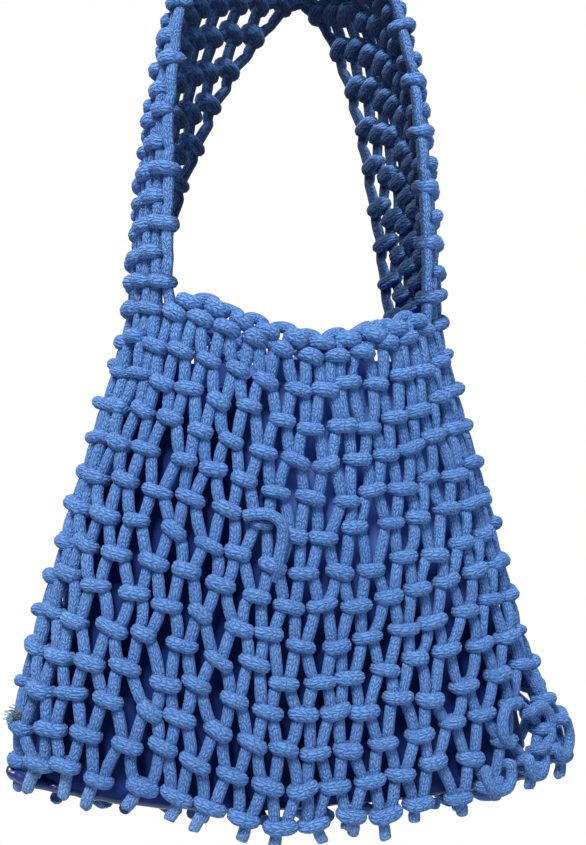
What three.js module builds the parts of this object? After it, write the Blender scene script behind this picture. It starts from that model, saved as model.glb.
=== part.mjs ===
// A knotted cotton cord shoulder bag with a cloth liner, hanging from its strap.
// Millimetres. X runs left to right, Y from the front (-) to the back (+), Z up.
// The origin is the underside of the strap at its top, where a hook carries it.
import * as THREE from "three";

// Cord and net
const CORD = 6; // diameter of the braided cord
const NET = 12; // thickness of the knotted net: a wrap in front and its bump behind
const GAP = 0.3; // clearance between touching pieces
const CORDS = 60; // cords counted round the body
const STRAP_CORDS = 10; // cords in each strap

// Body of the bag
const MOUTH_Z = -227; // top of the net at the middle of the front
const MOUTH_RISE = { left: 27, right: 22 }; // how much higher the net reaches at the sides
const HEM_Z = -464; // lower edge of the net at the middle of the front
const HEM_RISE = { left: 17, right: 12 }; // how much higher the lower edge stands at the sides
const MOUTH_HALF = { wide: 94, deep: 44 };
const HEM_HALF = { wide: 152, deep: 50 };
const FLARE = 1.23; // the sides spread quickly below the mouth, then drop straighter
const ROUNDNESS = 2.3; // exponent of the rounded outline
const CROWDING = 0.2; // how much closer the cords stand at the front than on average, low down
const CROWD_AT = 0.2; // share of the way round where they stand closest
const BASE_Z = -473; // underside of the crossing cords below the liner

// Rim of the mouth: two close rows of wraps and a row of loops above them
const WRAP_HALF = 3.3;
const RIM_HALF_DEPTH = 7;
const LOOP_HALF_DEPTH = 4;
const RIM_END = 0.0125; // share of the way round left clear beside each strap

// Strap: three guide curves, each from the body to the top. Handles are Bezier handles.
const ROOT_SHARE = 0.38; // share of each side that bends where it leaves the body
const SIDE_SHARE = 0.72;
const ZONE_GAP = 0.006; // share of a side left clear between strap pieces
const FRONT_GUIDE = { lift: [70, -31, -41], lean: [62, -33, 25], top: [-10, -33, 25] };
const MIDDLE_GUIDE = { lift: [78, 0, -81], lean: [62, 0, 7], top: [3, 0, 7] };
const BACK_GUIDE = { lift: [57, 31, -108], lean: [23, 33, -25], top: [19, 33, -12] };

// Liner and its stiff base
const CLOTH = 1.4;
const LINER_INSET = 7.6; // from the middle of the net to the middle of the cloth
const LINER_TOP = -223;
const LINER_DROP = 30; // how far the cloth sags at the left of the front
const HEM_BAND = 14;
const LINER_BOTTOM = -456.2;
const PIPING = { wide: 151, deep: 33, z: -460, radius: 2.8 };
const BOARD = { top: -461, under: -466.5, inset: 3.2 };

const TAIL_ENDS = -472.7;
const TAIL_GAP = 0.8; // the net edge rises across the width of a tail

const COTTON = { color: 0x6c9ad6, roughness: 0.9, metalness: 0 };
const STRAP_COTTON = { color: 0x5f8ccb, roughness: 0.9, metalness: 0 };
const CLOTH_BLUE = { color: 0x33478f, roughness: 0.75, metalness: 0 };
const NAVY_GLOSS = { color: 0x1f2d6e, roughness: 0.3, metalness: 0 };
const CUT_ENDS = { color: 0x7fa9de, roughness: 0.95, metalness: 0 };

const bag = new THREE.Group();
bag.name = "knotted_shoulder_bag";

// ---- Outline of the body -------------------------------------------------

function signedPower(value, power) {
  return Math.sign(value) * Math.abs(value) ** power;
}

// Points a closed outline passes through, walked from the left tip round the front.
function outline(wide, deep, steps = 240) {
  const points = [];
  for (let i = 0; i <= steps; i++) {
    const turn = (2 * Math.PI * i) / steps;
    const x = -wide * signedPower(Math.cos(turn), 2 / ROUNDNESS);
    const y = -deep * signedPower(Math.sin(turn), 2 / ROUNDNESS);
    points.push(new THREE.Vector2(x, y));
  }
  return points;
}

// The point a given share of the way round an outline, by length.
function around(wide, deep, share) {
  const points = outline(wide, deep);
  const lengths = [0];
  for (let i = 1; i < points.length; i++) {
    lengths.push(lengths[i - 1] + points[i].distanceTo(points[i - 1]));
  }
  const wanted = (share - Math.floor(share)) * lengths.at(-1);
  let i = 1;
  while (lengths[i] < wanted) i++;
  const part = (wanted - lengths[i - 1]) / (lengths[i] - lengths[i - 1]);
  return points[i - 1].clone().lerp(points[i], part);
}

function outwardAt(point, wide, deep) {
  const nx = signedPower(point.x / wide, ROUNDNESS - 1) / wide;
  const ny = signedPower(point.y / deep, ROUNDNESS - 1) / deep;
  return new THREE.Vector3(nx, ny, 0).normalize();
}

function spread(z) {
  const down = (MOUTH_Z - z) / (MOUTH_Z - HEM_Z);
  return FLARE * down - (FLARE - 1) * Math.max(down, 0) ** 6;
}

function halfWidth(z) {
  return MOUTH_HALF.wide + (HEM_HALF.wide - MOUTH_HALF.wide) * spread(z);
}

function halfDepth(z) {
  return MOUTH_HALF.deep + (HEM_HALF.deep - MOUTH_HALF.deep) * spread(z);
}

// How far a row of the net has risen: all of rise.left at the left tip, of rise.right at the right.
function risen(rise, share) {
  const lean = Math.cos(2 * Math.PI * share);
  return rise.left * Math.max(lean, 0) ** 1.3 + rise.right * Math.max(-lean, 0) ** 2.4;
}

function mouthZ(share) {
  return MOUTH_Z + risen(MOUTH_RISE, share);
}

function hemZ(share) {
  return HEM_Z + risen(HEM_RISE, share);
}

// Low on the bag the cords crowd towards the front.
function crowded(share, z) {
  const down = (MOUTH_Z - z) / (MOUTH_Z - HEM_Z);
  const amount = CROWDING * Math.min(Math.max((down - 0.3) / 0.45, 0), 1);
  return share - (amount * Math.sin(2 * Math.PI * (share - CROWD_AT))) / (2 * Math.PI);
}

// A point of the net's middle surface, moved outwards by offset.
function bodyPoint(share, z, offset) {
  const wide = halfWidth(z);
  const deep = halfDepth(z);
  const flat = around(wide, deep, crowded(share, z));
  const point = new THREE.Vector3(flat.x, flat.y, z);
  return point.addScaledVector(outwardAt(flat, wide, deep), offset);
}

// ---- Strap ---------------------------------------------------------------

// side is -1 for the left strap and 1 for the right; across runs -1 (front) to 1 (back).
function strapRoot(side, across) {
  const reach = (STRAP_CORDS / 2 / CORDS) * across;
  const share = side < 0 ? -reach : 0.5 + reach;
  return bodyPoint(share, mouthZ(share), 0);
}

function blendGuides(part, across) {
  return [0, 1, 2].map((i) => {
    const f = FRONT_GUIDE[part][i];
    const m = MIDDLE_GUIDE[part][i];
    const b = BACK_GUIDE[part][i];
    return m + (across * (b - f)) / 2 + across ** 2 * ((b + f) / 2 - m);
  });
}

function strapCurve(side, across) {
  const lift = blendGuides("lift", across);
  const lean = blendGuides("lean", across);
  const top = blendGuides("top", across);
  return new THREE.CubicBezierCurve3(
    strapRoot(side, across),
    new THREE.Vector3(side * lift[0], lift[1], lift[2]),
    new THREE.Vector3(top[0] + side * lean[0], lean[1], lean[2]),
    new THREE.Vector3(top[0], top[1], top[2]),
  );
}

const curves = new Map();

function strapMiddle(side, across, along) {
  const key = side + ":" + across.toFixed(4);
  if (!curves.has(key)) {
    curves.set(key, strapCurve(side, across));
  }
  return curves.get(key).getPointAt(THREE.MathUtils.clamp(along, 0, 1));
}

// Outward direction of the strap, away from the arm that goes through it.
function strapOutward(side, across, along) {
  const step = 0.02;
  const up = strapMiddle(side, across, Math.min(along + step, 1));
  up.sub(strapMiddle(side, across, Math.max(along - step, 0)));
  const over = strapMiddle(side, across + step, along);
  over.sub(strapMiddle(side, across - step, along));
  return up.cross(over).multiplyScalar(side).normalize();
}

function strapPoint(side, across, along, offset) {
  const point = strapMiddle(side, across, along);
  return point.addScaledVector(strapOutward(side, across, along), offset);
}

// ---- Solids --------------------------------------------------------------

function addPiece(name, corners, faces, finish) {
  const geometry = new THREE.BufferGeometry();
  const flat = corners.flatMap((p) => [p.x, p.y, p.z]);
  geometry.setAttribute("position", new THREE.Float32BufferAttribute(flat, 3));
  geometry.setIndex(enclosed(corners, faces) < 0 ? faces.map(flipped).flat() : faces.flat());
  geometry.computeVertexNormals();
  const piece = new THREE.Mesh(geometry, new THREE.MeshStandardMaterial(finish));
  piece.name = name;
  bag.add(piece);
}

function flipped([a, b, c]) {
  return [a, c, b];
}

function enclosed(corners, faces) {
  let volume = 0;
  for (const [a, b, c] of faces) {
    volume += corners[a].dot(corners[b].clone().cross(corners[c])) / 6;
  }
  return volume;
}

function quad(a, b, c, d) {
  return [
    [a, b, c],
    [a, c, d],
  ];
}

// A slab between two surfaces: surface(u, v, side) gives a point, side 0 or 1.
function slab(name, columns, rows, surface, finish) {
  const corners = [];
  for (const side of [0, 1]) {
    for (let j = 0; j <= rows; j++) {
      for (let i = 0; i <= columns; i++) {
        corners.push(surface(i / columns, j / rows, side));
      }
    }
  }
  const at = (i, j, side) => (side * (rows + 1) + j) * (columns + 1) + i;
  const faces = [];
  for (let j = 0; j < rows; j++) {
    for (let i = 0; i < columns; i++) {
      faces.push(...quad(at(i, j, 1), at(i + 1, j, 1), at(i + 1, j + 1, 1), at(i, j + 1, 1)));
      faces.push(...quad(at(i, j + 1, 0), at(i + 1, j + 1, 0), at(i + 1, j, 0), at(i, j, 0)));
    }
  }
  for (let i = 0; i < columns; i++) {
    faces.push(...quad(at(i, 0, 0), at(i + 1, 0, 0), at(i + 1, 0, 1), at(i, 0, 1)));
    faces.push(...quad(at(i, rows, 1), at(i + 1, rows, 1), at(i + 1, rows, 0), at(i, rows, 0)));
  }
  for (let j = 0; j < rows; j++) {
    faces.push(...quad(at(0, j, 1), at(0, j + 1, 1), at(0, j + 1, 0), at(0, j, 0)));
    const c = columns;
    faces.push(...quad(at(c, j, 0), at(c, j + 1, 0), at(c, j + 1, 1), at(c, j, 1)));
  }
  addPiece(name, corners, faces, finish);
}

// A bar that follows a path: path(s) gives its middle, outward(s) its outward direction.
function bar(name, steps, sides, path, outward, halfDeep, halfHigh, finish) {
  const corners = [];
  for (let i = 0; i <= steps; i++) {
    const s = i / steps;
    const along = path(Math.min(s + 0.01, 1)).sub(path(Math.max(s - 0.01, 0))).normalize();
    const out = outward(s).addScaledVector(along, -outward(s).dot(along)).normalize();
    const up = along.clone().cross(out).normalize();
    for (let k = 0; k < sides; k++) {
      const turn = (2 * Math.PI * (k + 0.5)) / sides;
      const rim = path(s).addScaledVector(out, halfDeep * Math.cos(turn));
      corners.push(rim.addScaledVector(up, halfHigh * Math.sin(turn)));
    }
  }
  const faces = [];
  for (let i = 0; i < steps; i++) {
    for (let k = 0; k < sides; k++) {
      const a = i * sides + k;
      const b = i * sides + ((k + 1) % sides);
      faces.push(...quad(a, b, b + sides, a + sides));
    }
  }
  const last = steps * sides;
  for (let k = 1; k < sides - 1; k++) {
    faces.push([0, k + 1, k], [last, last + k, last + k + 1]);
  }
  addPiece(name, corners, faces, finish);
}

// ---- Net -----------------------------------------------------------------

function netPanel(name, from, to, columns) {
  const sideGap = 0.0003; // half the clearance, as a share of the way round
  slab(
    name,
    columns,
    13,
    (u, v, side) => {
      const share = THREE.MathUtils.lerp(from + sideGap, to - sideGap, u);
      const z = THREE.MathUtils.lerp(hemZ(share), mouthZ(share) - GAP, v);
      return bodyPoint(share, z, (side - 0.5) * NET);
    },
    COTTON,
  );
}

const STRAP_EDGE = STRAP_CORDS / 2 / CORDS;
netPanel("net_front", STRAP_EDGE, 0.5 - STRAP_EDGE, 20);
netPanel("net_back", 0.5 + STRAP_EDGE, 1 - STRAP_EDGE, 20);
netPanel("net_left_side", -STRAP_EDGE, STRAP_EDGE, 10);
netPanel("net_right_side", 0.5 - STRAP_EDGE, 0.5 + STRAP_EDGE, 10);

function rimRow(name, face, height, halfDeep, finish) {
  const from = STRAP_EDGE + 0.5 * face + RIM_END;
  const to = 0.5 - STRAP_EDGE + 0.5 * face - RIM_END;
  const place = (s, offset) => {
    const share = THREE.MathUtils.lerp(from, to, s);
    return bodyPoint(share, mouthZ(share) + height, offset);
  };
  const outward = (s) => place(s, 1).sub(place(s, 0));
  bar(name, 22, 8, (s) => place(s, 0), outward, halfDeep, WRAP_HALF, finish);
}

["front", "back"].forEach((word, face) => {
  const first = WRAP_HALF + GAP;
  const pitch = 2 * WRAP_HALF + GAP;
  rimRow("rim_lower_wraps_" + word, face, first, RIM_HALF_DEPTH, COTTON);
  rimRow("rim_upper_wraps_" + word, face, first + pitch, RIM_HALF_DEPTH, COTTON);
  rimRow("rim_loops_" + word, face, first + 2 * pitch, LOOP_HALF_DEPTH, COTTON);
});

// Crossing cords under the liner, drawn as one flat mat.
function plate(name, wide, deep, top, under, finish) {
  const ring = outline(wide, deep, 64).slice(0, -1);
  const corners = [];
  for (const z of [under, top]) {
    corners.push(...ring.map((p) => new THREE.Vector3(p.x, p.y, z)));
    corners.push(new THREE.Vector3(0, 0, z));
  }
  const n = ring.length;
  const faces = [];
  for (let i = 0; i < n; i++) {
    const j = (i + 1) % n;
    faces.push([n, j, i], [2 * n + 1, n + 1 + i, n + 1 + j]);
    faces.push(...quad(i, j, n + 1 + j, n + 1 + i));
  }
  addPiece(name, corners, faces, finish);
}

const MAT_INSET = NET / 2 + 1;
plate("net_base", HEM_HALF.wide - MAT_INSET, HEM_HALF.deep - MAT_INSET, BASE_Z + CORD, BASE_Z, COTTON);

// ---- Strap pieces --------------------------------------------------------

const EDGE_SHARE = 0.84; // the band between the two free-running edge cords
const LEFT = -1;
const RIGHT = 1;

// Walks from the left strap over the top to the right one when both sides are asked for.
function sideAndHeight(zone, v) {
  if (zone.side) {
    return [zone.side, THREE.MathUtils.lerp(zone.from, zone.to, v)];
  }
  const walk = 2 * v - 1;
  return [walk < 0 ? LEFT : RIGHT, THREE.MathUtils.lerp(1, SIDE_SHARE + ZONE_GAP, Math.abs(walk))];
}

function strapBand(name, zone, rows) {
  slab(
    name,
    6,
    rows,
    (u, v, face) => {
      const [side, along] = sideAndHeight(zone, v);
      const across = THREE.MathUtils.lerp(-EDGE_SHARE, EDGE_SHARE, u);
      return strapPoint(side, across, along, (face - 0.5) * NET);
    },
    STRAP_COTTON,
  );
}

function strapEdge(name, zone, steps, across) {
  const path = (s) => strapPoint(...sideAndHeight(zone, s).toSpliced(1, 0, across), 0);
  const outward = (s) => {
    const [side, along] = sideAndHeight(zone, s);
    return strapOutward(side, across, along);
  };
  bar(name, steps, 8, path, outward, CORD / 2, CORD / 2, STRAP_COTTON);
}

const ZONES = [
  ["root_left", { side: LEFT, from: 0.016, to: ROOT_SHARE - ZONE_GAP }, 7],
  ["root_right", { side: RIGHT, from: 0.016, to: ROOT_SHARE - ZONE_GAP }, 7],
  ["left", { side: LEFT, from: ROOT_SHARE, to: SIDE_SHARE }, 6],
  ["right", { side: RIGHT, from: ROOT_SHARE, to: SIDE_SHARE }, 6],
  ["top", { side: 0 }, 12],
];

for (const [word, zone, rows] of ZONES) {
  strapBand("strap_" + word, zone, rows);
  strapEdge("strap_front_edge_" + word, zone, rows, -1);
  strapEdge("strap_back_edge_" + word, zone, rows, 1);
}

// ---- Liner ---------------------------------------------------------------

// The cloth sags at the left of the front and stands near the rim elsewhere.
function linerTop(share) {
  const sag = 1 - THREE.MathUtils.smoothstep(Math.abs(share - 0.09), 0.03, 0.17);
  return LINER_TOP - LINER_DROP * sag;
}

function linerWall(name, from, to, top, bottom, halfThick, inset, rows) {
  slab(
    name,
    20,
    rows,
    (u, v, side) => {
      const share = THREE.MathUtils.lerp(from + 0.0006, to - 0.0006, u);
      const z = THREE.MathUtils.lerp(bottom(share), top(share), v);
      return bodyPoint(share, z, -inset + (2 * side - 1) * halfThick);
    },
    CLOTH_BLUE,
  );
}

const hemBottom = (share) => linerTop(share) - HEM_BAND;
const linerFloor = () => LINER_BOTTOM;
const belowHem = (share) => hemBottom(share) - GAP;
linerWall("liner_front", 0, 0.5, belowHem, linerFloor, CLOTH / 2, LINER_INSET, 8);
linerWall("liner_back", 0.5, 1, belowHem, linerFloor, CLOTH / 2, LINER_INSET, 8);
linerWall("liner_hem_front", 0, 0.5, linerTop, hemBottom, CLOTH, LINER_INSET + 0.7, 2);
linerWall("liner_hem_back", 0.5, 1, linerTop, hemBottom, CLOTH, LINER_INSET + 0.7, 2);

plate(
  "liner_base_board",
  PIPING.wide - BOARD.inset,
  PIPING.deep - BOARD.inset,
  BOARD.top,
  BOARD.under,
  NAVY_GLOSS,
);

// The rolled edge round the foot of the liner, closed on itself.
function piping(name) {
  const steps = 72;
  const sides = 8;
  const ring = outline(PIPING.wide, PIPING.deep, steps).slice(0, -1);
  const corners = ring.flatMap((p) => {
    const out = outwardAt(p, PIPING.wide, PIPING.deep);
    return Array.from({ length: sides }, (_, k) => {
      const turn = (2 * Math.PI * k) / sides;
      const rim = new THREE.Vector3(p.x, p.y, PIPING.z + PIPING.radius * Math.sin(turn));
      return rim.addScaledVector(out, PIPING.radius * Math.cos(turn));
    });
  });
  const faces = [];
  for (let i = 0; i < steps; i++) {
    for (let k = 0; k < sides; k++) {
      const j = (i + 1) % steps;
      const m = (k + 1) % sides;
      faces.push(...quad(i * sides + k, i * sides + m, j * sides + m, j * sides + k));
    }
  }
  addPiece(name, corners, faces, NAVY_GLOSS);
}
piping("liner_piping");

// ---- Cut cord tails below the last wraps ---------------------------------

const TAILS_A_FACE = 10;

function tail(name, share) {
  const top = hemZ(share) - TAIL_GAP;
  const height = top - TAIL_ENDS;
  const place = (s) => bodyPoint(share, top, 0).setZ(top - s * height);
  const foot = bodyPoint(share, top, 0);
  const outward = () => outwardAt(foot, halfWidth(top), halfDepth(top));
  bar(name, 1, 8, place, outward, CORD / 2, CORD / 2, CUT_ENDS);
}

["front", "back"].forEach((word, face) => {
  for (let j = 0; j < TAILS_A_FACE; j++) {
    tail("tail_" + word + "_" + String(j + 1).padStart(2, "0"), (6 + 2 * j) / CORDS + 0.5 * face);
  }
});

export default bag;
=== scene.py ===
# %% [markdown]
# A shoulder bag knotted from thick braided cotton cord, hanging from its strap.
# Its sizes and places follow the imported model, apart from a slack corner at the lower
# right, a lower edge that rises further at the left, and longer cut ends.
# The bag is knotted by hand, so nearly everything visible is one cord again and again,
# which is why the cord and the knot are each made once and then laid along paths.

import math

import bpy
import numpy as np
from mathutils import Matrix, Vector


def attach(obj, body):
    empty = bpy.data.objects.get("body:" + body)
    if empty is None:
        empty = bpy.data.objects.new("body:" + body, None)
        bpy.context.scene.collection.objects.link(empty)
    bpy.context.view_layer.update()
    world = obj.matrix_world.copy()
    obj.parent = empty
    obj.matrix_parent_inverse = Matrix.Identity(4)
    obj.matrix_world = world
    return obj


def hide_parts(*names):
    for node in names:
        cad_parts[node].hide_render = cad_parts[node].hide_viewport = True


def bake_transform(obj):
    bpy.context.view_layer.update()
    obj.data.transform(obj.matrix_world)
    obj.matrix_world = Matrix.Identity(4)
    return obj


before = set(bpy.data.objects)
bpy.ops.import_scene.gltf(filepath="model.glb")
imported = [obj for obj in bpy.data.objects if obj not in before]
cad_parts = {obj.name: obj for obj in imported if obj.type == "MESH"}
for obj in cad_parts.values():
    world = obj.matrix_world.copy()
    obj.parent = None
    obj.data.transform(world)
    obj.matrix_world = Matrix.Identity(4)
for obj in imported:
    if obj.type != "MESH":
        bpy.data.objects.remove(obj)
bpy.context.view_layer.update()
rng = np.random.default_rng(64)
MM = 0.001

# %% [markdown]
# The body flares from a small dipped mouth to a wide foot and is round at both ends.
# A rounded outline walked by length gives every cord its own place round the bag, so
# the knots spread apart towards the foot just as knotting more slack makes them do.

# %% Outline of the body
CORD = 6.35
CORDS = 60
STRAP_CORDS = 10
MOUTH_Z, MOUTH_RISE = -227.0, (27.0, 22.0)
HEM_Z, HEM_RISE = -464.0, (34.0, 12.0)
SLACK_RISE = 14.0
MOUTH_WIDE, MOUTH_DEEP = 94.0, 44.0
HEM_WIDE, HEM_DEEP = 152.0, 50.0
FLARE = 1.23
ROUNDNESS = 2.3
CROWDING, CROWD_AT = 0.2, 0.2
STRAP_EDGE = STRAP_CORDS / 2 / CORDS
FOOT_WIDE, FOOT_DEEP, FOOT_Z = 151.0, 33.0, -460.0
FOOT_LIFT = 20.0
TURNS = np.linspace(0, 2 * math.pi, 361)


def signed_power(value, power):
    return np.sign(value) * np.abs(value) ** power


UNIT = np.stack([-signed_power(wave, 2 / ROUNDNESS) for wave in (np.cos(TURNS), np.sin(TURNS))], 1)


def around(wide, deep, share):
    points = UNIT * (wide, deep)
    lengths = np.concatenate([[0], np.cumsum(np.linalg.norm(np.diff(points, axis=0), axis=1))])
    wanted = (share % 1.0) * lengths[-1]
    return np.array([np.interp(wanted, lengths, points[:, 0]), np.interp(wanted, lengths, points[:, 1])])


def spread(z):
    down = (MOUTH_Z - z) / (MOUTH_Z - HEM_Z)
    return FLARE * down - (FLARE - 1) * max(down, 0) ** 6


def foot_lift(x):
    """The foot of the liner turns up towards its left end."""
    return FOOT_LIFT * max(-x / FOOT_WIDE, 0) ** 1.8


def risen(rise, share):
    """The rows climb towards both sides, sooner and further on the left."""
    lean = math.cos(2 * math.pi * share)
    return rise[0] * max(lean, 0) ** 1.3 + rise[1] * max(-lean, 0) ** 2.4


def mouth_z(share):
    return MOUTH_Z + risen(MOUTH_RISE, share)


def hem_z(share):
    return HEM_Z + risen(HEM_RISE, share)


def crowded(share, z):
    """Low on the bag the cords crowd towards the front."""
    down = (MOUTH_Z - z) / (MOUTH_Z - HEM_Z)
    amount = CROWDING * min(max((down - 0.3) / 0.45, 0), 1)
    return share - amount * math.sin(2 * math.pi * (share - CROWD_AT)) / (2 * math.pi)


def body_point(share, z, offset=0.0):
    wide = MOUTH_WIDE + (HEM_WIDE - MOUTH_WIDE) * spread(z)
    deep = MOUTH_DEEP + (HEM_DEEP - MOUTH_DEEP) * spread(z)
    x, y = around(wide, deep, crowded(share, z))
    power = ROUNDNESS - 1
    out = np.array([signed_power(x / wide, power) / wide, signed_power(y / deep, power) / deep, 0])
    return np.array([x, y, z]) + out / np.linalg.norm(out) * offset


print("foot is", round(2 * body_point(0.5, HEM_Z)[0]), "mm wide at the cord centres")

# %% [markdown]
# The strap is the net of the two sides carried on upwards. It is one band, hollow like
# a gutter at the roots. Its front edge stands higher than its back edge at the top, as
# a strap does when one edge takes more of the load.

# %% The strap's surface
GUIDES = {
    "front": ((70, -31, -41), (62, -33, 25), (-10, -33, 25)),
    "middle": ((78, 0, -81), (62, 0, 7), (3, 0, 7)),
    "back": ((57, 31, -108), (23, 33, -25), (19, 33, -12)),
}
BEZIER = np.linspace(0, 1, 81)[:, None]
_curves = {}


def guide(part, across):
    front, middle, back = (np.array(GUIDES[k][part], float) for k in ("front", "middle", "back"))
    return middle + across * (back - front) / 2 + across**2 * ((back + front) / 2 - middle)


def strap_line(side, across):
    key = (side, round(across, 4))
    if key not in _curves:
        share = -STRAP_EDGE * across if side < 0 else 0.5 + STRAP_EDGE * across
        a = body_point(share, mouth_z(share))
        lift, lean, d = guide(0, across), guide(1, across), guide(2, across)
        b = np.array([side * lift[0], lift[1], lift[2]])
        c = np.array([d[0] + side * lean[0], lean[1], lean[2]])
        t = BEZIER
        line = a * (1 - t) ** 3 + 3 * b * t * (1 - t) ** 2 + 3 * c * t**2 * (1 - t) + d * t**3
        steps = np.concatenate([[0], np.cumsum(np.linalg.norm(np.diff(line, axis=0), axis=1))])
        _curves[key] = line, steps
    return _curves[key]


def strap_middle(side, across, along):
    line, steps = strap_line(side, across)
    wanted = min(max(along, 0), 1) * steps[-1]
    return np.array([np.interp(wanted, steps, line[:, k]) for k in range(3)])


def strap_walk(across, walk):
    """walk 0 is the left root, 1 the top, 2 the right root."""
    return strap_middle(-1, across, walk) if walk <= 1 else strap_middle(1, across, 2 - walk)


def unit(v):
    return v / np.linalg.norm(v)


def strap_frame(across, walk):
    """(point, direction to the front edge's right, outward, upward along the strap)"""
    p = strap_walk(across, walk)
    along = unit(strap_walk(across, walk + 0.02) - strap_walk(across, walk - 0.02))
    over = unit(strap_walk(across + 0.02, walk) - strap_walk(across - 0.02, walk))
    out = unit(np.cross(along, over))
    out = out if out @ (p - np.array([0, 0, -150])) > 0 else -out
    return p, over, out, along


print("strap middle line is", round(2 * strap_line(-1, 0.0)[1][-1]), "mm long")

# %% [markdown]
# A knot is a place: a middle, a direction across, one up and one outwards. Every knot
# takes two neighbouring cords. Each row starts one cord further on, so a cord is bound
# to its left neighbour, then to its right one, and the net opens into diamonds.

# %% Knots of the body
ROWS = 13
FIRST_ROW_Z = 12.5
ROW_PITCH = 18.9
RIM_STARTS = {-2: 5.5, -1: 4.5}
WRAP_TIGHT = 2.9


def place(middle, across, up, outward):
    return {"at": middle, "across": across, "up": up, "out": outward}


def tilted(across, up, angle):
    """Both directions turned by an angle in the plane that they span."""
    cos, sin = math.cos(angle), math.sin(angle)
    return across * cos + up * sin, up * cos - across * sin


def row_height(row, share):
    top, foot = mouth_z(share), hem_z(share)
    if row < 0:
        return top + (6.0 if row == -1 else 13.2)
    level = 1 - (FIRST_ROW_Z + ROW_PITCH * row) / (MOUTH_Z - HEM_Z)
    slack = risen((SLACK_RISE, 0.0), share) * level * (1 - level)
    return foot + (top - foot) * level + slack


def foot_flare(p):
    """The lower right corner has gone slack and stands out; the lower left is drawn in."""
    slack = min(max((p[0] - 90) / 55, 0), 1) * min(max((-380 - p[2]) / 60, 0), 1)
    drawn = min(max((-p[0] - 120) / 30, 0), 1) * min(max((-418 - p[2]) / 14, 0), 1)
    return p + np.array([15.0, -3.0, 6.0]) * slack**1.5 + np.array([4.5, 0.0, 2.0]) * drawn


def body_knot(row, share, wobble=1.0):
    z = row_height(row, share)
    shift = rng.normal(0, 1, 3) * wobble
    share = share + shift[0] * 0.002
    z = z + shift[1] * 1.3
    step = 0.004
    p = body_point(share, z, 0.5 * shift[2])
    after = body_point(share + step, row_height(row, share + step))
    before = body_point(share - step, row_height(row, share - step))
    across = unit((after - before) * (1, 1, 0.45 if 0.27 < share < 0.73 else 0.95))
    up = unit(body_point(share, z + 3) - body_point(share, z - 3))
    out = unit(np.cross(across, up))
    up = np.cross(out, across)
    lean = 0.13 * max(math.cos(2 * math.pi * (share - 0.06)), 0) ** 2 if row >= 0 else 0
    tilt = rng.normal(0, 0.14) * wobble - lean
    across, up = tilted(across, up, tilt)
    return {**place(foot_flare(p), across, up, out), "wide": 0.95 + 0.016 * max(row, 0)}


def pair_start(row):
    return 1 if row % 2 == 0 else 0


knots = {}
for row in range(-2, ROWS):
    for first in range(pair_start(row), CORDS, 2):
        share = (first + 1) / CORDS
        side = min(first + 1, abs(first + 1 - CORDS // 2), abs(first + 1 - CORDS))
        if side < RIM_STARTS.get(row, 0):
            continue
        knots[row, first] = body_knot(row, share, 0.6 if row < 0 else 1.0)
        if row < 0:
            knots[row, first]["across"] = unit(knots[row, first]["across"] + np.array([0, 0, -0.16]))
print(len(knots), "knots in the body and rim")

# %% [markdown]
# The strap keeps ten of the cords on each side. Its outermost cords are bound only in
# every second row and run free between, which leaves the straight open edge.

# %% Knots of the strap
STRAP_ROWS = 36
ROOT_ROWS = 7


def strap_walk_at(row, across):
    length = strap_line(-1, across)[1][-1]
    start = 6.0 / length
    return start + (2 - 2 * start) * row / STRAP_ROWS


def strap_knot(row, first):
    across = (first + 1 - STRAP_CORDS / 2) / (STRAP_CORDS / 2)
    shift = rng.normal(0, 1, 3)
    walk = strap_walk_at(row, across)
    walk = walk - 0.03 * across * math.sin(math.pi * walk) + shift[0] * 0.0035
    p, over, out, along = strap_frame(across, walk)
    p = p + over * shift[1] * 0.5
    tilt = rng.normal(0, 0.08)
    up = along if walk <= 1 else -along
    over, up = tilted(over, up, tilt)
    return place(p, over, up, out)


strap_knots = {}
for row in range(STRAP_ROWS + 1):
    for first in range(pair_start(row), STRAP_CORDS - 1, 2):
        strap_knots[row, first] = strap_knot(row, first)
print(len(strap_knots), "knots in the strap")

# %% [markdown]
# A cord's path passes through the middle of each of its knots, squeezed to one side,
# and bows out a little between them. Walking the rows in order gives one long path.

# %% Paths of the body's cords
def knot_of(row, cord):
    first = cord if cord % 2 == pair_start(row) else (cord - 1) % CORDS
    return knots.get((row, first)), (-1 if first == cord else 1)


def leg(a, b, bow):
    """Two points between knots a and b, bowed outwards."""
    return [a * 0.72 + b * 0.28 + bow, a * 0.28 + b * 0.72 + bow]


def strap_knot_of(row, i):
    first = i if i % 2 == pair_start(row) else i - 1
    return strap_knots.get((row, first)), (-1 if first == i else 1)


def body_cord_of(row, i):
    """The body cord that strap cord i carries on, at the left root or the right one."""
    return (4 - i) % CORDS if row == 0 else 25 + i


def in_wrap(knot, side):
    """Where a cord lies in a wrap, squeezed to one side, and the way out there."""
    return knot["at"] + knot["across"] * side * WRAP_TIGHT - knot["out"] * 0.6, knot["out"]


STRAP_ENDS = {body_cord_of(row, i): (row, i) for row in (0, STRAP_ROWS) for i in range(STRAP_CORDS)}


def body_cord(cord):
    """[(point, thickness)] from the foot up to the mouth."""
    stops = []
    for row in range(ROWS - 1, -3, -1):
        knot, side = knot_of(row, cord)
        if knot is None and row == -1 and cord in STRAP_ENDS:
            knot, side = strap_knot_of(*STRAP_ENDS[cord])
        if knot is not None:
            stops.append(in_wrap(knot, side))
    path = []
    for (a, out_a), (b, out_b) in zip(stops, stops[1:]):
        bow = (out_a + out_b) * 0.5 * rng.normal(0.9, 0.35)
        sway = unit(np.cross(out_a, b - a)) * rng.normal(0, 0.85)
        path += [(a, 0.86)] + [(p + sway, 1.0) for p in leg(a, b, bow)]
    path.append((stops[-1][0], 0.86))
    return path


body_paths = {cord: body_cord(cord) for cord in range(CORDS)}
print("longest body cord has", max(len(p) for p in body_paths.values()), "points")

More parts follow.
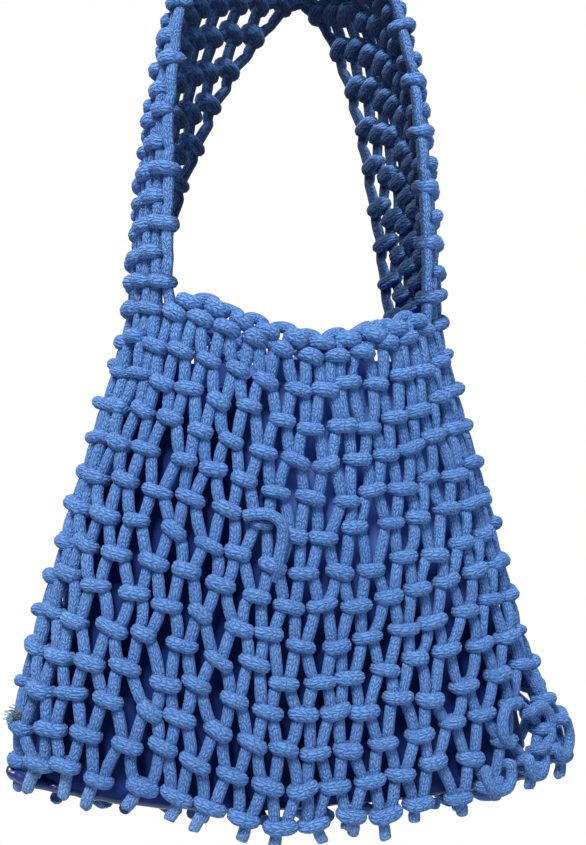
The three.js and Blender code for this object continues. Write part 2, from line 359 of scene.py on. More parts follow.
# %% [markdown]
# The strap's cords are traced the same way, row by row, over the arch. The band is cut
# into three stretches, because the two roots bend as the bag swings and the rest stays.

# %% Paths of the strap's cords
def strap_cord(i, first_row, last_row):
    stops = []
    for row in range(first_row, last_row + 1):
        knot, side = strap_knot_of(row, i)
        if knot is not None:
            stops.append(in_wrap(knot, side))
        elif row in (0, STRAP_ROWS) and i in (0, STRAP_CORDS - 1):
            stops.append(in_wrap(*knot_of(-1, body_cord_of(row, i))))
        else:
            across = (i + 0.5 - STRAP_CORDS / 2) / (STRAP_CORDS / 2)
            p, over, out, _ = strap_frame(across, strap_walk_at(row, across))
            stops.append((p + over * (0.8 if i else -0.8) + out * 0.5, out))
    path = []
    for (a, out_a), (b, out_b) in zip(stops, stops[1:]):
        bow = (out_a + out_b) * 0.5 * rng.normal(0.7, 0.3)
        path += [(a, 0.88)] + [(p, 1.0) for p in leg(a, b, bow)]
    path.append((stops[-1][0], 0.88))
    return path


ZONES = {
    "root_left": (0, ROOT_ROWS),
    "over": (ROOT_ROWS, STRAP_ROWS - ROOT_ROWS),
    "root_right": (STRAP_ROWS - ROOT_ROWS, STRAP_ROWS),
}
strap_paths = {}
for zone, (low, high) in ZONES.items():
    strap_paths[zone] = [strap_cord(i, low, high) for i in range(STRAP_CORDS)]
print("strap cords:", {zone: len(p) for zone, p in strap_paths.items()})

# %% [markdown]
# The cord is a hollow braid of soft cotton. Its stitches lie in narrow columns of small
# Vs that run along it. The path stores how far along a point is and where round the
# cord it is, and the finish reads both, so the braid follows every bend and has no seam.

# %% A node tree that sweeps cord along paths
def tree(name, sockets):
    group = bpy.data.node_groups.new(name, "GeometryNodeTree")
    group.interface.new_socket("Geometry", in_out="INPUT", socket_type="NodeSocketGeometry")
    for label, kind, default in sockets:
        socket = group.interface.new_socket(label, in_out="INPUT", socket_type=kind)
        if default is not None:
            socket.default_value = default
    group.interface.new_socket("Geometry", in_out="OUTPUT", socket_type="NodeSocketGeometry")
    return group, group.nodes.new("NodeGroupInput"), group.nodes.new("NodeGroupOutput")


def add(group, kind, inputs=(), **settings):
    node = group.nodes.new(kind)
    for key, value in settings.items():
        setattr(node, key, value)
    for socket, value in dict(inputs).items():
        if isinstance(value, bpy.types.NodeSocket):
            group.links.new(value, node.inputs[socket])
        else:
            node.inputs[socket].default_value = value
    return node


def store(group, geometry, name, kind, value):
    given = {"Geometry": geometry, "Name": name}
    node = add(group, "GeometryNodeStoreNamedAttribute", given, data_type=kind, domain="POINT")
    group.links.new(value, node.inputs["Value"])
    return node.outputs[0]


def round_profile(group, radius, sides):
    circle = add(group, "GeometryNodeCurvePrimitiveCircle", {"Radius": 1.0, "Resolution": sides})
    position = add(group, "GeometryNodeInputPosition")
    marked = store(group, circle.outputs["Curve"], "ring", "FLOAT_VECTOR", position.outputs[0])
    size = add(group, "ShaderNodeCombineXYZ", {"X": radius, "Y": radius, "Z": radius})
    return add(group, "GeometryNodeTransform", {"Geometry": marked, "Scale": size.outputs[0]}).outputs[0]


def handmade(group, geometry, amount, seed):
    """Moves every point a little, smoothly, so that no two stretches are alike."""
    wobble = {"Scale": 95.0, "Detail": 1.0, "W": seed}
    cloud = add(group, "ShaderNodeTexNoise", wobble, noise_dimensions="4D")
    round_zero = {0: cloud.outputs["Color"], 1: (0.5, 0.5, 0.5)}
    centred = add(group, "ShaderNodeVectorMath", round_zero, operation="SUBTRACT")
    moved = add(group, "ShaderNodeVectorMath", {0: centred.outputs[0]}, operation="SCALE")
    group.links.new(amount, moved.inputs["Scale"])
    shift = {"Geometry": geometry, "Offset": moved.outputs[0]}
    return add(group, "GeometryNodeSetPosition", shift).outputs[0]


def finish_tree(group, geometry, material, out):
    smooth = add(group, "GeometryNodeSetShadeSmooth", {"Geometry": geometry})
    real = add(group, "GeometryNodeRealizeInstances", {"Geometry": smooth.outputs[0]})
    painted = add(group, "GeometryNodeSetMaterial", {"Geometry": real.outputs[0], "Material": material})
    group.links.new(painted.outputs[0], out.inputs[0])


def cord_tree():
    group, given, out = tree(
        "cord along paths",
        [
            ("Radius", "NodeSocketFloat", 0.003),
            ("Sides", "NodeSocketInt", 10),
            ("Steps", "NodeSocketInt", 3),
            ("Unevenness", "NodeSocketFloat", 0.0011),
            ("Seed", "NodeSocketFloat", 1.0),
            ("Material", "NodeSocketMaterial", None),
        ],
    )
    path = given.outputs["Geometry"]
    curve = add(group, "GeometryNodeCurveSplineType", {"Curve": path}, spline_type="CATMULL_ROM")
    steps = {"Geometry": curve.outputs[0], "Resolution": given.outputs["Steps"]}
    fine = add(group, "GeometryNodeSetSplineResolution", steps)
    length = add(group, "GeometryNodeSplineParameter")
    marked = store(group, fine.outputs[0], "along", "FLOAT", length.outputs["Length"])
    profile = round_profile(group, given.outputs["Radius"], given.outputs["Sides"])
    thickness = add(group, "GeometryNodeInputRadius").outputs[0]
    sweep = {"Curve": marked, "Profile Curve": profile, "Scale": thickness, "Fill Caps": True}
    tube = add(group, "GeometryNodeCurveToMesh", sweep)
    shaped = handmade(group, tube.outputs[0], given.outputs["Unevenness"], given.outputs["Seed"])
    finish_tree(group, shaped, given.outputs["Material"], out)
    return group


CORD_TREE = cord_tree()
print("cord tree has", len(CORD_TREE.nodes), "nodes")

# %% [markdown]
# A knot shows as one short fat bar in front and a rounded bump behind: the working cord
# goes once round its neighbour pair and is pulled tight. A rounded ring of cord round
# the pair gives both at once, and one ring placed on every knot makes the whole net.

# %% A node tree that sets a wrap on every knot
def wrap_tree():
    group, given, out = tree(
        "wraps on knots",
        [
            ("Half Width", "NodeSocketFloat", 0.0041),
            ("Half Depth", "NodeSocketFloat", 0.0036),
            ("Radius", "NodeSocketFloat", 0.00375),
            ("Sides", "NodeSocketInt", 10),
            ("Unevenness", "NodeSocketFloat", 0.0015),
            ("Seed", "NodeSocketFloat", 2.0),
            ("Material", "NodeSocketMaterial", None),
        ],
    )
    wide = add(group, "ShaderNodeMath", {0: given.outputs["Half Width"], 1: 2.0}, operation="MULTIPLY")
    deep = add(group, "ShaderNodeMath", {0: given.outputs["Half Depth"], 1: 2.0}, operation="MULTIPLY")
    edges = {"Width": wide.outputs[0], "Height": deep.outputs[0]}
    box = add(group, "GeometryNodeCurvePrimitiveQuadrilateral", edges)
    corner = add(group, "ShaderNodeMath", {0: given.outputs["Half Depth"], 1: 0.7}, operation="MULTIPLY")
    rounding = {"Curve": box.outputs[0], "Count": 4, "Radius": corner.outputs[0]}
    ring = add(group, "GeometryNodeFilletCurve", rounding, mode="POLY")
    position = add(group, "GeometryNodeInputPosition")
    marked = store(group, ring.outputs[0], "loop", "FLOAT_VECTOR", position.outputs[0])
    profile = round_profile(group, given.outputs["Radius"], given.outputs["Sides"])
    tube = add(group, "GeometryNodeCurveToMesh", {"Curve": marked, "Profile Curve": profile})
    turn = add(group, "GeometryNodeInputNamedAttribute", {"Name": "turn"}, data_type="FLOAT_VECTOR")
    scale = add(group, "GeometryNodeInputNamedAttribute", {"Name": "fit"}, data_type="FLOAT_VECTOR")
    spots = add(group, "GeometryNodeMeshToPoints", {"Mesh": given.outputs["Geometry"]})
    setting = {
        "Points": spots.outputs[0],
        "Instance": tube.outputs[0],
        "Rotation": turn.outputs[0],
        "Scale": scale.outputs[0],
    }
    laid = add(group, "GeometryNodeInstanceOnPoints", setting)
    real = add(group, "GeometryNodeRealizeInstances", {"Geometry": laid.outputs[0]})
    shaped = handmade(group, real.outputs[0], given.outputs["Unevenness"], given.outputs["Seed"])
    finish_tree(group, shaped, given.outputs["Material"], out)
    return group


WRAP_TREE = wrap_tree()
print("wrap tree has", len(WRAP_TREE.nodes), "nodes")

# %% [markdown]
# A tree only shows its result while its modifier lives. Reading the evaluated object back
# as a plain mesh keeps the result, with the attributes that the finish needs, and lets
# the modifier go. Two short helpers do that: one from paths, the other from knot places.

# %% Running a tree and keeping its mesh
def run_tree(obj, group, settings):
    bpy.context.scene.collection.objects.link(obj)
    modifier = obj.modifiers.new("made", "NODES")
    modifier.node_group = group
    for item in group.interface.items_tree:
        if item.in_out == "INPUT" and item.name in settings:
            modifier[item.identifier] = settings[item.name]
    bpy.context.view_layer.update()
    graph = bpy.context.evaluated_depsgraph_get()
    evaluated = obj.evaluated_get(graph)
    mesh = bpy.data.meshes.new_from_object(evaluated, preserve_all_data_layers=True, depsgraph=graph)
    mesh.materials.clear()
    mesh.materials.append(settings["Material"])
    mesh.polygons.foreach_set("material_index", np.zeros(len(mesh.polygons), np.int32))
    name = obj.name
    bpy.data.objects.remove(obj)
    made = bpy.data.objects.new(name, mesh)
    mesh.name = name
    bpy.context.scene.collection.objects.link(made)
    print(name, len(mesh.polygons), "faces")
    return made


def cords(name, paths, material, seed=1.0, **settings):
    curve = bpy.data.curves.new(name, "CURVE")
    curve.dimensions = "3D"
    for path in paths:
        spline = curve.splines.new("POLY")
        spline.points.add(len(path) - 1)
        for point, (p, thick) in zip(spline.points, path):
            point.co = (*(np.asarray(p) * MM), 1)
            point.radius = thick
    given = {"Material": material, "Seed": seed, "Radius": CORD / 2 * MM, **settings}
    return run_tree(bpy.data.objects.new(name + "_cords", curve), CORD_TREE, given)


def wraps(name, chosen, material, seed=2.0, **settings):
    mesh = bpy.data.meshes.new(name)
    mesh.from_pydata([tuple(k["at"] * MM) for k in chosen], [], [])
    turn = mesh.attributes.new("turn", "FLOAT_VECTOR", "POINT")
    fit = mesh.attributes.new("fit", "FLOAT_VECTOR", "POINT")
    for i, k in enumerate(chosen):
        up, across = unit(k["up"]), unit(k["across"])
        axes = Matrix((across, np.cross(up, across), up)).transposed()
        turn.data[i].vector = axes.to_euler()
        stretch = ((k.get("wide", 1.0), 0.06), (1.0, 0.05), (1.0, 0.07))
        fit.data[i].vector = [rng.normal(middle, spread_by) for middle, spread_by in stretch]
    given = {"Material": material, "Seed": seed, **settings}
    return run_tree(bpy.data.objects.new(name + "_wraps", mesh), WRAP_TREE, given)


# %% [markdown]
# The cotton is dyed a mid blue, unevenly. Painted highlight makes the tops of the stitches paler
# and painted shade makes the grooves darker, mixed with a random fuzz of tone. Loose fibres make a soft
# sheen at the edges, so the finish is rough with a light fuzz, a braid relief, and slow changes of tone
# along each cord.

# %% The cotton finish
def shader(name):
    material = bpy.data.materials.new(name)
    material.use_nodes = True
    nodes = material.node_tree
    return material, nodes, nodes.nodes["Principled BSDF"]


def math_node(nodes, operation, a, b=None, clamp=False):
    node = nodes.nodes.new("ShaderNodeMath")
    node.operation = operation
    node.use_clamp = clamp
    for i, value in enumerate((a, b)):
        if isinstance(value, bpy.types.NodeSocket):
            nodes.links.new(value, node.inputs[i])
        elif value is not None:
            node.inputs[i].default_value = value
    return node.outputs[0]


def plus(nodes, a, b):
    return math_node(nodes, "ADD", a, b)


def times(nodes, a, b, clamp=False):
    return math_node(nodes, "MULTIPLY", a, b, clamp)


def humps(nodes, value, rate):
    """Rounded humps between 0 and 1."""
    return math_node(nodes, "ABSOLUTE", math_node(nodes, "SINE", times(nodes, value, rate)))


def attribute(nodes, name):
    node = nodes.nodes.new("ShaderNodeAttribute")
    node.attribute_name = name
    return node


def angle_of(nodes, name):
    parts = nodes.nodes.new("ShaderNodeSeparateXYZ")
    nodes.links.new(attribute(nodes, name).outputs["Vector"], parts.inputs[0])
    angle = math_node(nodes, "ARCTAN2", parts.outputs[1], parts.outputs[0])
    return math_node(nodes, "DIVIDE", angle, 2 * math.pi)


def ramp(nodes, value, stops):
    node = nodes.nodes.new("ShaderNodeValToRGB")
    nodes.links.new(value, node.inputs[0])
    while len(node.color_ramp.elements) < len(stops):
        node.color_ramp.elements.new(0.5)
    for element, (where, colour) in zip(node.color_ramp.elements, stops):
        element.position = where
        element.color = (*colour, 1)
    return node.outputs[0]


def noise(nodes, scale, detail=2.0):
    place_node = nodes.nodes.new("ShaderNodeTexCoord")
    node = nodes.nodes.new("ShaderNodeTexNoise")
    node.inputs["Scale"].default_value = scale
    node.inputs["Detail"].default_value = detail
    nodes.links.new(place_node.outputs["Object"], node.inputs["Vector"])
    return node.outputs["Fac"]


def mix(nodes, factor, a, b, blend="MIX"):
    node = nodes.nodes.new("ShaderNodeMix")
    node.data_type = "RGBA"
    node.blend_type = blend
    for socket, value in ((node.inputs[0], factor), (node.inputs[6], a), (node.inputs[7], b)):
        if isinstance(value, bpy.types.NodeSocket):
            nodes.links.new(value, socket)
        else:
            socket.default_value = value if isinstance(value, float) else (*value, 1)
    return node.outputs[2]


BRAID_COLUMNS, STITCH_PITCH, STITCHES_A_WRAP = 6.0, 0.003, 10.0


def braid_height(nodes):
    """1 on the crown of a stitch and 0 in the groove round it."""
    wander = times(nodes, noise(nodes, 420.0, 1.0), 0.5)
    columns = plus(nodes, times(nodes, angle_of(nodes, "ring"), BRAID_COLUMNS), wander)
    along = times(nodes, attribute(nodes, "along").outputs["Fac"], 1 / STITCH_PITCH)
    turns = times(nodes, angle_of(nodes, "loop"), STITCHES_A_WRAP)
    uneven = times(nodes, noise(nodes, 190.0, 2.0), 2.6)
    travel = plus(nodes, plus(nodes, along, turns), uneven)
    lean = math_node(nodes, "PINGPONG", columns, 0.5)
    slant = plus(nodes, travel, times(nodes, lean, 1.5))
    stitch = math_node(nodes, "POWER", humps(nodes, slant, math.pi), 0.6)
    sides = math_node(nodes, "POWER", humps(nodes, columns, 2 * math.pi), 0.45)
    return times(nodes, stitch, sides)


def shaded_side(nodes, centre, depth):
    """Painted shade: unchanged where the cord faces out, darker where it faces in towards the centre."""
    spot = nodes.nodes.new("ShaderNodeTexCoord")
    to_centre = nodes.nodes.new("ShaderNodeVectorMath")
    to_centre.operation = "SUBTRACT"
    to_centre.inputs[0].default_value = centre
    nodes.links.new(spot.outputs["Object"], to_centre.inputs[1])
    aim = nodes.nodes.new("ShaderNodeVectorMath")
    aim.operation = "NORMALIZE"
    nodes.links.new(to_centre.outputs[0], aim.inputs[0])
    facing = nodes.nodes.new("ShaderNodeVectorMath")
    facing.operation = "DOT_PRODUCT"
    nodes.links.new(aim.outputs[0], facing.inputs[0])
    nodes.links.new(spot.outputs["Normal"], facing.inputs[1])
    deepest = (depth, depth * 1.05, depth * 1.2)
    return ramp(nodes, facing.outputs["Value"], [(0.0, (1, 1, 1)), (0.55, deepest)])


def cotton(name, groove, crown, sheen, inside=None):
    material, nodes, skin = shader(name)
    height = braid_height(nodes)
    fuzz = noise(nodes, 1500.0, 4.0)
    relief = plus(nodes, height, times(nodes, fuzz, 0.8))
    tone = plus(nodes, times(nodes, height, 0.55), times(nodes, fuzz, 0.62))
    # Painted shade darkens the grooves and painted highlight pales the crowns of the stitches; the fuzz
    # adds random tone.
    colour = ramp(nodes, tone, [(0.12, groove), (0.9, crown)])
    drift = ramp(nodes, noise(nodes, 22.0, 2.0), [(0.3, (0.86, 0.88, 0.92)), (0.7, (1.08, 1.06, 1.03))])
    colour_with_painted_light = mix(nodes, 1.0, colour, drift, "MULTIPLY")
    # The strap's cotton also gets painted shade on the faces that turn in towards its arch.
    if inside:
        colour_with_painted_light = mix(nodes, 1.0, colour_with_painted_light, shaded_side(nodes, *inside), "MULTIPLY")
    nodes.links.new(colour_with_painted_light, skin.inputs["Base Color"])
    bump = nodes.nodes.new("ShaderNodeBump")
    bump.inputs["Strength"].default_value = 0.9
    bump.inputs["Distance"].default_value = 0.0008
    nodes.links.new(relief, bump.inputs["Height"])
    nodes.links.new(bump.outputs[0], skin.inputs["Normal"])
    skin.inputs["Roughness"].default_value = 0.92
    skin.inputs["Specular IOR Level"].default_value = 0.15
    skin.inputs["Sheen Weight"].default_value = sheen
    skin.inputs["Sheen Roughness"].default_value = 0.45
    skin.inputs["Sheen Tint"].default_value = (0.62, 0.78, 1.0, 1)
    return material


# In each cotton the first colour is the painted shade of the grooves and the second the painted
# highlight of the crowns.
COTTON = cotton("braided blue cotton", (0.014, 0.06, 0.25), (0.16, 0.355, 0.79), 0.13)
# Centre and depth of the painted shade on the inner faces of the strap.
STRAP_PAINTED_SHADE = ((0.005, 0.0, -0.13), 0.2)
STRAP_COTTON = cotton(
    "braided blue cotton of the strap", (0.013, 0.057, 0.24), (0.155, 0.34, 0.76), 0.13, STRAP_PAINTED_SHADE
)
TAIL_COTTON = cotton("cut cotton ends", (0.03, 0.1, 0.32), (0.22, 0.43, 0.85), 0.25)
FRAYED_COTTON = cotton("frayed cotton", (0.3, 0.5, 0.68), (0.6, 0.78, 0.9), 0.3)
print("finishes:", [m.name for m in bpy.data.materials])

# %% [markdown]
# The body's net could be one huge mesh, but four panels are easier to handle and each
# takes the place of its own plain solid. Cords and wraps stay apart, because the wraps
# are rings that close on themselves while the cords are long open runs.

# %% Lay the net of the body
PANELS = {
    "net_front": range(5, 25),
    "net_right_side": range(25, 35),
    "net_back": range(35, 55),
    "net_left_side": [*range(55, 60), *range(0, 5)],
}
for number, (name, members) in enumerate(PANELS.items()):
    laid = cords(name, [body_paths[c] for c in members], COTTON, seed=1.0 + number)
    own = [k for (row, c), k in knots.items() if c in members and row >= 0]
    rings = wraps(name, own, COTTON, seed=11.0 + number)
    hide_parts(name)
    for piece in (laid, rings):
        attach(piece, "bag")

# %% [markdown]
# The strap's two roots must bend between the hanging strap and the swinging bag; here they
# are only baked in place and attached to neither. The long middle stretch simply rides on the strap.

# %% Lay the strap
STRAP_WRAP = {"Radius": 0.0039, "Half Depth": 0.0038}


def wraps_of(zone):
    """The strap's knots in a zone; a row between two zones belongs to the middle one."""
    low, high = ZONES[zone]
    first = low + 1 if zone == "root_right" else low
    last = high - 1 if zone == "root_left" else high
    return [k for (row, _), k in strap_knots.items() if first <= row <= last]


for number, zone in enumerate(ZONES):
    laid = cords("strap_" + zone, strap_paths[zone], STRAP_COTTON, seed=21.0 + number)
    rings = wraps("strap_" + zone, wraps_of(zone), STRAP_COTTON, seed=31.0 + number, **STRAP_WRAP)
    words = ["left", "right", "top"] if zone == "over" else [zone]
    covered = [stem + w for w in words for stem in ("strap_", "strap_front_edge_", "strap_back_edge_")]
    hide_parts(*covered)
    for piece in (laid, rings):
        if zone == "over":
            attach(piece, "strap")
        else:
            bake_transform(piece)

# %% [markdown]
# The mouth is finished with two rows of knots pushed hard together and a small loop of
# cord standing over the edge between each pair, where the cords turn to be knotted on.

# %% The rim of the mouth
def rim_loop(first):
    """From the right cord of one top knot over to the left cord of the next."""
    a, b = knots[-2, first], knots[-2, (first + 2) % CORDS]
    start = a["at"] + a["across"] * WRAP_TIGHT
    end = b["at"] - b["across"] * WRAP_TIGHT
    up, out = unit(a["up"] + b["up"]), unit(a["out"] + b["out"])
    rise = rng.normal(3.6, 0.5)
    low = -up * 3.0 - out * 1.0
    crown = (start + end) / 2 + up * rise - out * rng.normal(1.6, 0.5)
    left = start + up * rise * 0.62 - out * 1.2 - unit(end - start) * 0.4
    right = end + up * rise * 0.62 - out * 1.2 + unit(end - start) * 0.4
    return [(start + low, 0.9), (left, 1.0), (crown, 1.0), (right, 1.0), (end + low, 0.9)]


RIM_WRAP = {"Half Width": 0.0035, "Half Depth": 0.0036, "Radius": 0.0042}
for face, (low, high) in {"front": (5, 23), "back": (35, 53)}.items():
    loops = [rim_loop(first) for first in range(low, high, 2)]
    laid = cords("rim_loops_" + face, loops, COTTON, seed=41.0, Steps=5)
    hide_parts("rim_loops_" + face)
    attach(laid, "bag")
    for row, word in ((-2, "upper"), (-1, "lower")):
        own = [k for (r, c), k in knots.items() if r == row and (c < CORDS / 2) == (face == "front")]
        rings = wraps(f"rim_{word}_{face}", own, COTTON, seed=43.0 + row, **RIM_WRAP)
        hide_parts(f"rim_{word}_wraps_{face}")
        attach(rings, "bag")

# %% [markdown]
# A net made by hand has its faults, and they are what make it look real. One cord has
# slipped out of its wrap high on the front, the lower right corner has gone slack and
# stands out in loops, and a broken strand has frayed into a tuft at the left.

# %% Slack loops, a slipped cord and a frayed tuft
def curl(share, z, size, turn, begin):
    """Most of a turn of loose cord standing on the net, with both ends tucked back in."""
    middle = foot_flare(body_point(share, z, 4.0))
    out = unit(middle - foot_flare(body_point(share, z, -4.0)))
    side = unit(np.cross([0, 0, 1], out))
    up = np.cross(out, side)
    path = []
    for t in np.linspace(0, 1, 17):
        angle = begin + turn * t
        lift = 2.0 * math.sin(math.pi * t) + 2.0 * t
        spoke = side * math.cos(angle) + up * math.sin(angle) * 1.15
        path.append((middle + spoke * size + out * lift, 1.0))
    first, last = path[0][0], path[-1][0]
    return [(first - out * 6 - up * 2, 0.9), *path, (last - out * 8 - up * 2, 0.9)]


slack = [
    curl(0.452, -424, 9.4, 3.6, 1.0),
    curl(0.474, -431, 10.2, -3.9, 2.2),
    curl(0.489, -441, 9.0, 4.0, 3.6),
    curl(0.466, -447, 8.6, -3.4, 0.2),
    curl(0.436, -450, 8.4, 3.8, 2.9),
]
slipped = knots[4, 11]
p, across, up, out = slipped["at"], slipped["across"], slipped["up"], slipped["out"]
route = (
    (-9, 3.5, 3.5),
    (-3, 5.2, 7.6),
    (4, 4.6, 9.2),
    (9.2, 0.2, 9.0),
    (10.6, -7, 7.6),
    (10.0, -15, 6.4),
    (9.6, -22, 4.6),
    (9.4, -28, 0.5),
)
slack.append([(p + across * x + up * z + out * y, 1.02) for x, z, y in route])
loose = cords("slack_loops", slack, COTTON, seed=61.0, Steps=5)

tip = body_point(0.985, -408.0, 3.0)
FRAYED_STRANDS = 26
frayed = []
for _ in range(FRAYED_STRANDS):
    way = unit(np.array([-1.0, rng.normal(-0.2, 0.45), rng.normal(0.1, 0.55)]))
    far = tip + way * rng.uniform(4.0, 9.5)
    bend = (tip + far) / 2 + rng.normal(0, 0.8, 3)
    frayed.append([(tip + rng.normal(0, 0.8, 3), 1.0), (bend, 0.9), (far, 0.5)])
fray = cords("frayed_tuft", frayed, FRAYED_COTTON, seed=62.0, Radius=0.00034, Sides=5, Unevenness=0.0004)
for piece in (loose, fray):
    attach(piece, "bag")

# %% [markdown]
# Below the last knots every cord is cut off short. The ends are a little paler where
# the braid has opened, and stand at odd angles because each was trimmed by hand.

# %% Cut tails
def tail(knot, lean, length):
    across, up, out = knot["across"], knot["up"], knot["out"]
    start = knot["at"] - up * 1.5 + across * lean
    mid = start - up * length * 0.6 + across * lean * 0.5 + out * rng.normal(-0.3, 0.5)
    aside = lean * 0.8 + rng.normal(0, 0.8)
    end = start - up * length + across * aside - out * abs(rng.normal(0.6, 0.6))
    return [(start, 0.9), (mid, 1.04), (end, 0.98), (end - up * 0.8, 0.6)]


for face in ("front", "back"):
    paths = []
    for (row, first), knot in knots.items():
        if row == ROWS - 1 and (first < CORDS / 2) == (face == "front"):
            both = rng.random() < 0.4
            left = max(-knot["at"][0] / 140, 0)
            paths.append(tail(knot, rng.choice((-1, 1)) * 1.8, rng.uniform(8.0, 11.5) + 4 * left))
            if both:
                paths.append(tail(knot, rng.normal(0, 0.5), rng.uniform(5.0, 7.0)))
    laid = cords("tails_" + face, paths, TAIL_COTTON, seed=51.0, Steps=3)
    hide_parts(*[f"tail_{face}_{j:02d}" for j in range(1, 11)])
    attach(laid, "bag")

# %% [markdown]
# Under the liner the front and back are laced across with the same cord, so that the
# stiff base has something to stand on. This is a guess at how the foot is closed: the
# cords are laid straight across, are not tied into the net, and are seen from below.

# %% Lacing under the base
LACES, LACED_HALF, LACING_Z = 15, 125, -466.4


def lace(i):
    """One cord from front to back, reaching less far at the left, where the foot turns up."""
    x = (i / (LACES - 1) - 0.5) * 2 * LACED_HALF
    round_end = (1 - abs(x / 145) ** ROUNDNESS) ** (1 / ROUNDNESS)
    reach = (HEM_DEEP - (13 if x > -40 else 26)) * round_end
    skew = 9 * (-1) ** i
    z = LACING_Z + foot_lift(x) * 1.05
    front, back = np.array([x - skew * 0.5, -reach, z]), np.array([x + skew * 0.5, reach, z])
    line = []
    for t in np.linspace(0, 1, 7):
        sag = -2.2 if 0 < t < 1 else 0
        line.append((front * (1 - t) + back * t + np.array([rng.normal(0, 0.4), 0, sag]), 0.98))
    return line


laid = cords("base_lacing", [lace(i) for i in range(LACES)], COTTON, seed=55.0)
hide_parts("net_base")
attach(laid, "bag")

# %% [markdown]
# The liner is a loose pocket of thin coated cloth, navy, hung inside the net. It sags at
# the left of the front and stands near the mouth elsewhere. Its cloth is creased where
# the net pushes on it, so its surface is moved by broad soft folds rather than left flat.

# %% The liner
LINER_TOP, LINER_DROP, LINER_FLOOR = -223.0, 30.0, -459.0
AROUND, UP = 180, 44
CLOTH_INSET, CLOTH_THICK, CLOTH_EASE = 7.9, 1.2, 1.6


def smooth_step(x, low, high):
    t = min(max((x - low) / (high - low), 0), 1)
    return t * t * (3 - 2 * t)


def liner_top(share):
    sag = 1 - smooth_step(abs((share + 0.5) % 1 - 0.5 - 0.08), 0.03, 0.15)
    return LINER_TOP - LINER_DROP * sag


def fold(share, level):
    a = 2 * math.pi * share
    broad = math.sin(7 * a + 2.1 * level) * math.sin(3 * a + 5 * level + 1)
    fine = math.sin(19 * a - 7 * level) * math.sin(11 * level + 4 * a)
    return 1.2 * broad + 0.6 * fine


def liner_skin(inset):
    rows = []
    for j in range(UP + 1):
        level = j / UP
        for i in range(AROUND):
            share = i / AROUND
            low = LINER_FLOOR + foot_lift(body_point(share, LINER_FLOOR)[0])
            z = low + (liner_top(share) - low) * level
            ease = math.sin(math.pi * min(level * 4, 1) / 2)
            rows.append(body_point(share, z, -inset - (CLOTH_EASE + fold(share, level)) * ease))
    return rows


def at(j, i):
    return j * AROUND + i % AROUND


def liner_mesh():
    outer, inner = liner_skin(CLOTH_INSET), liner_skin(CLOTH_INSET + CLOTH_THICK)
    middle, thick = np.array([0, 0, LINER_FLOOR]), np.array([0, 0, CLOTH_THICK])
    corners = outer + inner + [middle, middle + thick]
    n = len(outer)
    for i in range(AROUND):
        corners[n + i] = corners[n + i] + thick
    faces = []
    for j in range(UP):
        for i in range(AROUND):
            faces.append((at(j, i), at(j, i + 1), at(j + 1, i + 1), at(j + 1, i)))
            faces.append((n + at(j + 1, i), n + at(j + 1, i + 1), n + at(j, i + 1), n + at(j, i)))
    for i in range(AROUND):
        faces.append((at(UP, i), at(UP, i + 1), n + at(UP, i + 1), n + at(UP, i)))
        faces.append((2 * n, at(0, i + 1), at(0, i)))
        faces.append((2 * n + 1, n + at(0, i), n + at(0, i + 1)))
    mesh = bpy.data.meshes.new("liner")
    mesh.from_pydata([tuple(c * MM) for c in corners], [], faces)
    mesh.shade_smooth()
    return mesh


def cloth(name, low, high, rough, coat):
    material, nodes, skin = shader(name)
    place_node = nodes.nodes.new("ShaderNodeTexCoord")
    parts = nodes.nodes.new("ShaderNodeSeparateXYZ")
    nodes.links.new(place_node.outputs["Object"], parts.inputs[0])
    # Painted light: the cloth is painted bright high on the right, where light falls on it through the
    # net, and dark navy as painted shade elsewhere.
    height = times(nodes, plus(nodes, parts.outputs[2], 0.37), 13.0, clamp=True)
    right = times(nodes, plus(nodes, parts.outputs[0], 0.04), 22.0, clamp=True)
    painted_light_mask = times(nodes, height, right)
    weave = nodes.nodes.new("ShaderNodeTexWave")
    weave.bands_direction = "Z"
    weave.inputs["Scale"].default_value = 420.0
    nodes.links.new(place_node.outputs["Object"], weave.inputs["Vector"])
    tone = mix(nodes, painted_light_mask, low, high)
    speck = ramp(nodes, noise(nodes, 60.0, 3.0), [(0.3, (0.82, 0.84, 0.88)), (0.75, (1.12, 1.1, 1.06))])
    nodes.links.new(mix(nodes, 1.0, tone, speck, "MULTIPLY"), skin.inputs["Base Color"])
    bump = nodes.nodes.new("ShaderNodeBump")
    bump.inputs["Strength"].default_value = 0.25
    bump.inputs["Distance"].default_value = 0.0003
    nodes.links.new(weave.outputs["Fac"], bump.inputs["Height"])
    nodes.links.new(bump.outputs[0], skin.inputs["Normal"])
    skin.inputs["Roughness"].default_value = rough
    skin.inputs["Specular IOR Level"].default_value = 0.25
    skin.inputs["Coat Weight"].default_value = coat
    skin.inputs["Coat Roughness"].default_value = 0.2
    return material


# First colour: the cloth's painted shade; second: its painted light at the upper right. The glossy
# edge's two colours hardly differ.
LINER_CLOTH = cloth("navy liner cloth", (0.006, 0.03, 0.19), (0.15, 0.32, 0.92), 0.7, 0.0)
GLOSS = cloth("glossy navy edge", (0.022, 0.04, 0.2), (0.03, 0.05, 0.24), 0.28, 0.8)
liner = bpy.data.objects.new("liner", liner_mesh())
liner.data.materials.append(LINER_CLOTH)
bpy.context.scene.collection.objects.link(liner)
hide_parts("liner_front", "liner_back", "liner_base_board")
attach(liner, "bag")
print("liner has", len(liner.data.polygons), "faces")

# %% [markdown]
# The liner's top edge is folded over to the inside and sewn down, which leaves a band two
# cloths thick. It follows the same folds as the cloth under it, so it is built from them.

# %% Liner hem
HEM_BAND, HEM_ABOVE = 13, 0.6
HEM_OUTSIDE, HEM_INSIDE = 7.3, 11.6


